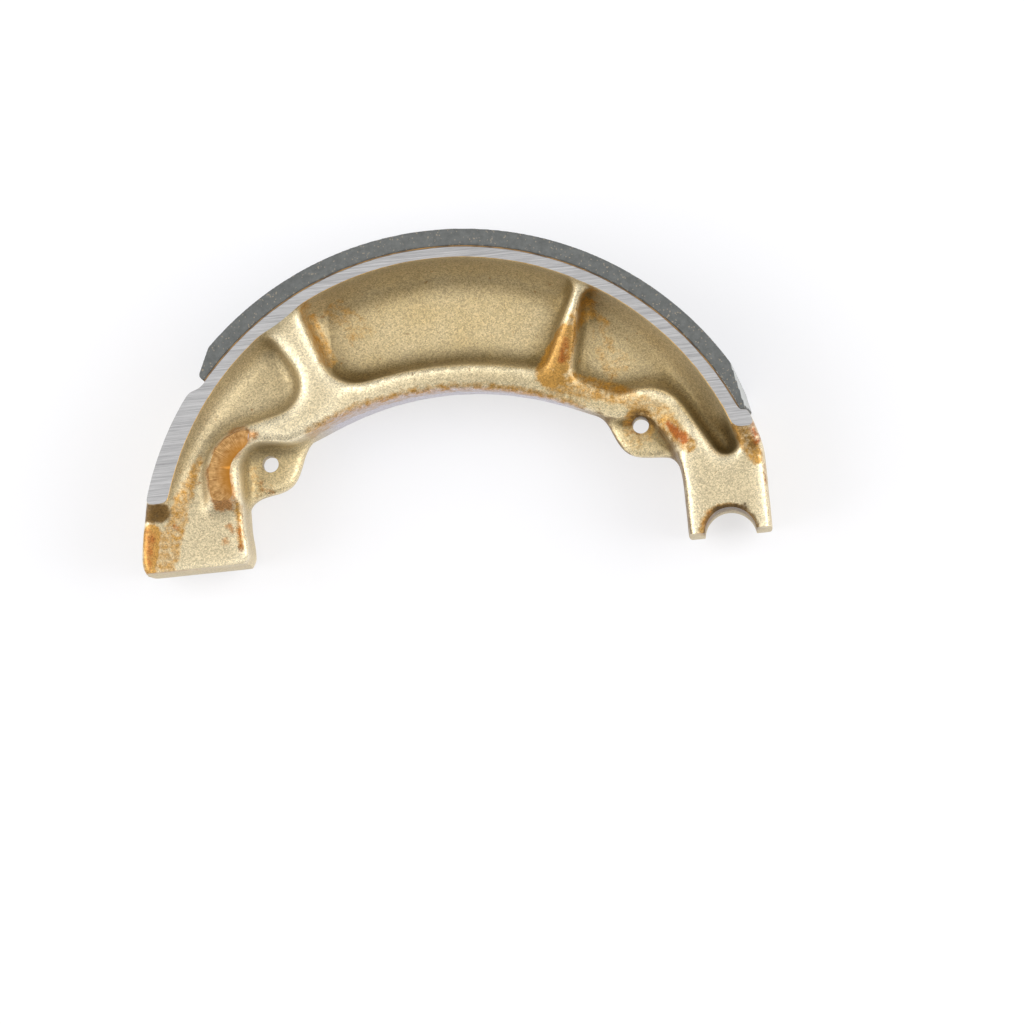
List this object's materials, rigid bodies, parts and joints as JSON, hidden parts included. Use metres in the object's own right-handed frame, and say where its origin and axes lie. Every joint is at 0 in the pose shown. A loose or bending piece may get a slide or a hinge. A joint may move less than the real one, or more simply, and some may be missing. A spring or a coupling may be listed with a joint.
{
  "type": "brake shoe",
  "caption": "Curved drum-brake shoe: a ribbed die-cast aluminium body with a bonded friction lining, a half-round seat for the anchor pin and a flat for the cam.",
  "frame": {"origin": "on the anchor pin's axis, at the middle of the shoe's width", "axes": "+X from the brake drum's centre toward the anchor pin, +Y toward the crown of the lining, +Z along the drum's axis; the shoe lies on its side on a plane at z = -14 mm, and the drum's centre is at x = -52.2 mm"},
  "size_m": [0.1227, 0.0639, 0.028],
  "materials": {
    "cast_aluminium": "die-cast with a worn sand-gold conversion coat, rim faces ground bare, rust and brake-dust stains",
    "friction_material": "moulded dark grey friction composite with fine light specks, ground on its working face",
    "cured_adhesive": "brown cured bonding adhesive"
  },
  "bodies": {
    "root": {"shoe_casting": "cast_aluminium", "friction_lining": "friction_material", "bond_film": "cured_adhesive"}
  },
  "joints": []
}
